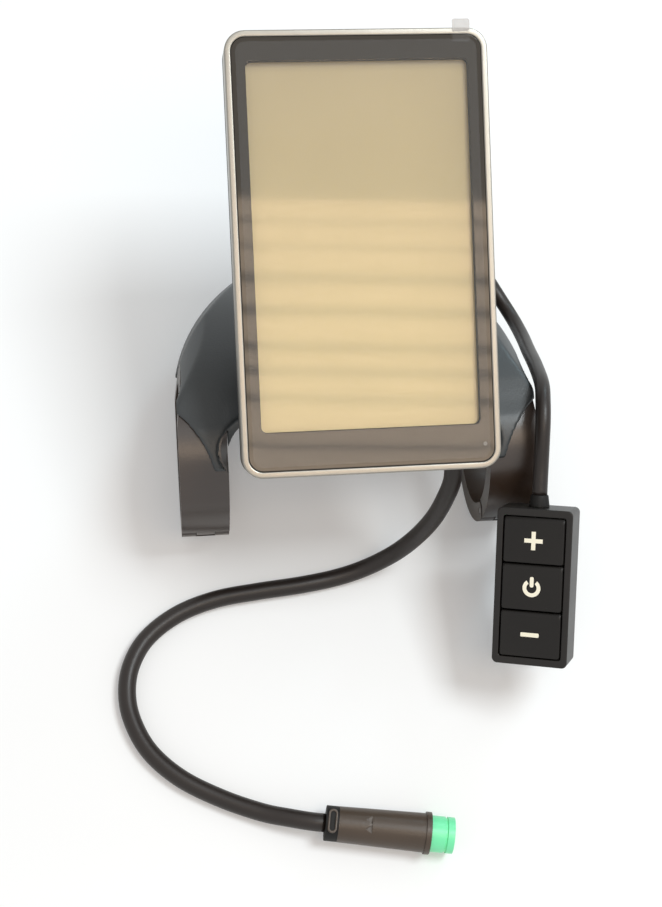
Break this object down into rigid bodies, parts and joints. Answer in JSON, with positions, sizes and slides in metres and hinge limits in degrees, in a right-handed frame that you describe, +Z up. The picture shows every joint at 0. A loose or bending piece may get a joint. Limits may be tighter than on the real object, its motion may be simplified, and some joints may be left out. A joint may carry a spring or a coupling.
{
  "type": "e-bike display",
  "caption": "Portrait screen in a thin metal rim on a tilting arch bracket with two hinged bar clamps, a wired pad of three keys with its own clamp, and a lead with a round plug.",
  "frame": {"origin": "on the handlebar's axis, midway between the two clamps", "axes": "+X along the handlebar to the rider's right, +Y forwards away from the rider, +Z up"},
  "size_m": [0.1125, 0.1633, 0.0951],
  "materials": {
    "black_plastic": "satin moulded, fine grain",
    "rim_metal": "bead blasted and anodised, warm silver",
    "front_glass": "tempered, printed dark border",
    "film": "clear protective film",
    "black_rubber": "soft matte",
    "screen": "unlit liquid crystal panel with polariser",
    "light_guide": "white light guide",
    "board": "green solder mask",
    "chips": "black moulded parts",
    "steel": "zinc plated",
    "black_steel": "black oxide",
    "brass": "turned",
    "amber_film": "amber flat cable",
    "lead_jacket": "smooth jacket",
    "green_nose": "green moulded",
    "yellow_rubber": "soft seal",
    "gold": "gold plated",
    "pad_plastic": "satin moulded, warm black",
    "key_plastic": "satin keys with pale marks"
  },
  "bodies": {
    "head": {"front_frame": "rim_metal", "cover_glass": "front_glass", "screen_film": "film", "lens_gasket": "black_rubber", "lcd_panel": "screen", "backlight": "light_guide", "lcd_carrier": "chips", "ribbon_cable": "amber_film", "light_sensor": "light_guide", "main_board": "board", "board_parts": "chips", "board_screws": "steel", "buzzer": "chips", "back_cover": "black_plastic", "case_seal": "black_rubber", "case_screws": "black_steel", "tilt_tongue": "black_plastic", "tongue_screws": "black_steel", "main_gland": "black_rubber", "pad_gland": "black_rubber", "main_lead": "lead_jacket", "plug_collar": "black_rubber", "plug_body": "black_plastic", "plug_nose": "green_nose", "plug_seal": "yellow_rubber", "plug_contacts": "gold", "pad_lead": "lead_jacket", "pad_entry": "black_rubber", "pad_case": "pad_plastic", "pad_base": "pad_plastic", "key_mat": "black_rubber", "pad_board": "board", "pad_switches": "light_guide", "pad_screws": "steel", "pad_pin": "steel", "pad_insert": "brass"},
    "bracket": {"arch": "black_plastic", "tilt_yoke": "black_plastic", "yoke_bolt": "black_steel", "tilt_bolt": "black_steel", "tilt_nut": "black_steel", "tilt_washers": "steel", "jaw_screws": "black_steel", "clamp_jaw_left": "black_plastic", "clamp_jaw_right": "black_plastic", "clamp_pins": "steel", "clamp_inserts": "brass"},
    "left_cap": {"clamp_cap_left": "black_plastic", "clamp_screw_left": "steel"},
    "right_cap": {"clamp_cap_right": "black_plastic", "clamp_screw_right": "steel"},
    "small_cap": {"pad_cap": "pad_plastic", "pad_cap_screw": "steel"},
    "plus_key": {"button_plus": "key_plastic"},
    "power_key": {"button_power": "key_plastic"},
    "minus_key": {"button_minus": "key_plastic"}
  },
  "joints": [
    {"name": "tilt", "type": "hinge", "parent": "head", "child": "bracket", "pos_m": [0, 0.02701, 0.02998], "axis": [1, 0, 0], "range_deg": [-2, 14]},
    {"name": "clamp_left_open", "type": "hinge", "parent": "bracket", "child": "left_cap", "pos_m": [-0.0355, -0.01787, -0.00315], "axis": [-1, 0, 0], "range_deg": [0, 55]},
    {"name": "clamp_right_open", "type": "hinge", "parent": "bracket", "child": "right_cap", "pos_m": [0.0355, -0.01787, -0.00315], "axis": [-1, 0, 0], "range_deg": [0, 55]},
    {"name": "pad_clamp_open", "type": "hinge", "parent": "head", "child": "small_cap", "pos_m": [0.04642, -0.02279, -0.00049], "axis": [0.9057, -0.2461, 0.3453], "range_deg": [0, 65]},
    {"name": "press_plus", "type": "slide", "parent": "head", "child": "plus_key", "axis": [0.419, 0.3949, -0.8176], "range_m": [0, 0.0008], "stiffness_N_per_m": 250, "springref_m": -0.0012},
    {"name": "press_power", "type": "slide", "parent": "head", "child": "power_key", "axis": [0.419, 0.3949, -0.8176], "range_m": [0, 0.0008], "stiffness_N_per_m": 250, "springref_m": -0.0012},
    {"name": "press_minus", "type": "slide", "parent": "head", "child": "minus_key", "axis": [0.419, 0.3949, -0.8176], "range_m": [0, 0.0008], "stiffness_N_per_m": 250, "springref_m": -0.0012}
  ]
}
